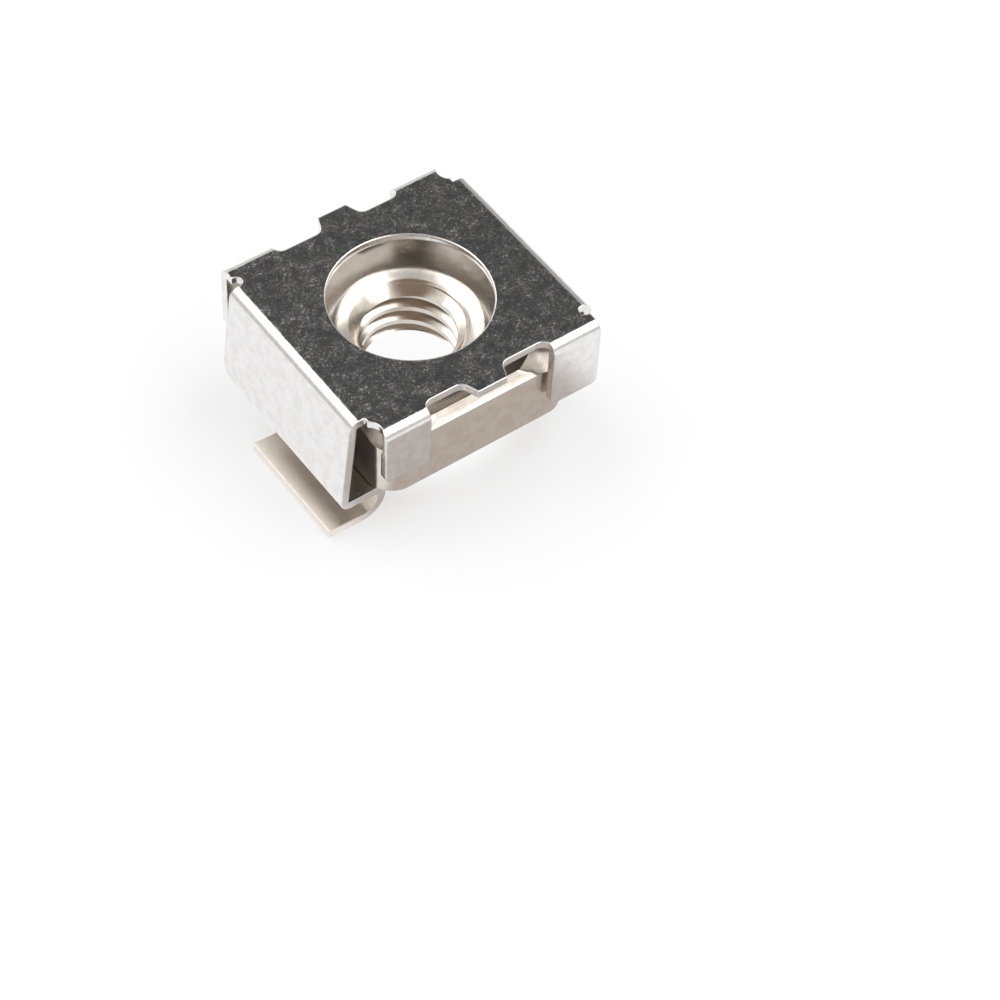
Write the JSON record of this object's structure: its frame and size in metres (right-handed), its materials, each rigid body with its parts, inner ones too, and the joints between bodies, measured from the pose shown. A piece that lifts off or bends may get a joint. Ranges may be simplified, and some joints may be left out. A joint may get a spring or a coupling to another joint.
{
  "type": "rack cage nut",
  "caption": "Folded spring-steel cage with snap-in wings that holds a captive threaded nut block behind a square mounting hole.",
  "frame": {"origin": "on the thread axis, at the level of the wings' lowest line, where the part stands", "axes": "+Z along the thread from the wings to the cage plate; the wings are at +X and -X, the side tabs at +Y and -Y"},
  "size_m": [0.0174, 0.0142, 0.008],
  "materials": {
    "cage_steel": "nickel plated",
    "nut_steel": "nickel plated"
  },
  "bodies": {
    "root": {"spring_cage": "cage_steel", "square_nut": "nut_steel"}
  },
  "joints": []
}
